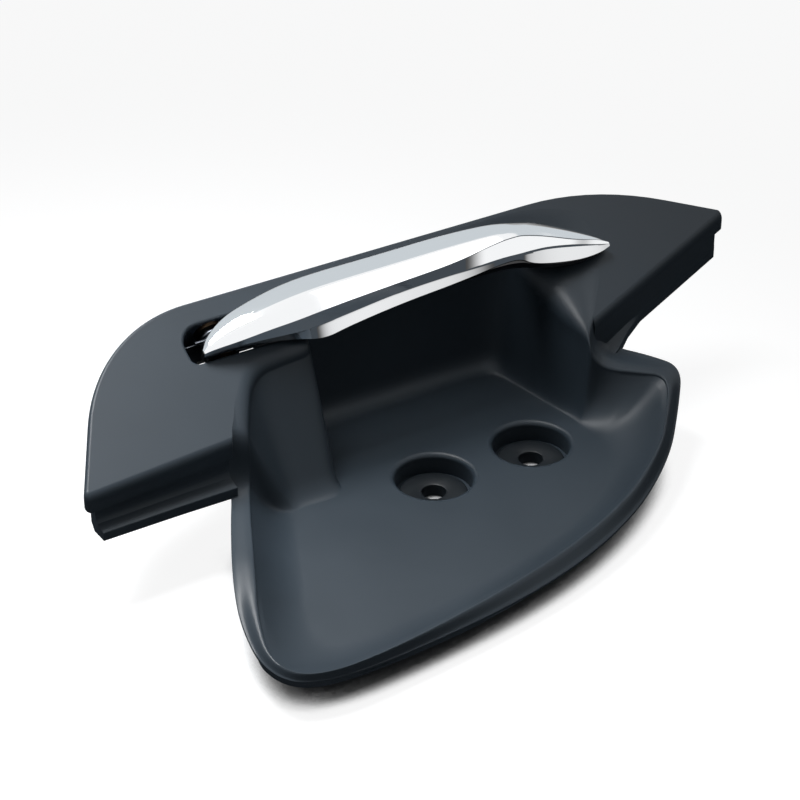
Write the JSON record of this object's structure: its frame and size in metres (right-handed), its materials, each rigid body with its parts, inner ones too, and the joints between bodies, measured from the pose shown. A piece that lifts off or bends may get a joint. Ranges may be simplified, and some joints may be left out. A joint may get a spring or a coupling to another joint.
{
  "type": "car interior door handle",
  "caption": "Inside door handle of a car: a chromed pull lever on a hinge pin, set in a moulded plastic bezel with a finger scoop, screw recesses and trim wings.",
  "frame": {"origin": "midway between the two fixing screws, in the plane of their seats", "axes": "+Z along the screws, out of the door panel and in the moulding's draw direction; +X along the lever to its free tip; +Y to the handle's back edge"},
  "size_m": [0.2113, 0.1105, 0.0571],
  "materials": {
    "bezel_plastic": "fine grained moulded surface, slate grey-black",
    "cap_chrome": "bright plated plastic",
    "carrier_plastic": "satin black",
    "arm_zinc": "die-cast zinc alloy, as cast",
    "natural_nylon": "natural white nylon",
    "pin_steel": "drawn steel, zinc plated",
    "clip_steel": "spring steel, oiled",
    "bush_bronze": "sintered bronze",
    "buffer_rubber": "moulded black rubber",
    "sleeve_steel": "steel with black coating"
  },
  "bodies": {
    "base": {"bezel": "bezel_plastic", "hinge_pin": "pin_steel", "pin_clip": "clip_steel", "bush_front": "bush_bronze", "bush_rear": "bush_bronze", "rest_buffer": "buffer_rubber", "screw_sleeve_left": "sleeve_steel", "screw_sleeve_right": "sleeve_steel", "panel_clip_left": "clip_steel", "panel_clip_right": "clip_steel"},
    "lever": {"lever_cap": "cap_chrome", "lever_carrier": "carrier_plastic", "lever_arm": "arm_zinc", "rod_bushing": "natural_nylon", "return_spring": "clip_steel"}
  },
  "joints": [
    {"name": "lever_pivot", "type": "hinge", "parent": "base", "child": "lever", "pos_m": [-0.06, 0.03571, 0.03908], "axis": [0, -0.8829, -0.4695], "range_deg": [0, 28], "stiffness_Nm_per_rad": 0.08, "springref_deg": -34.38}
  ]
}
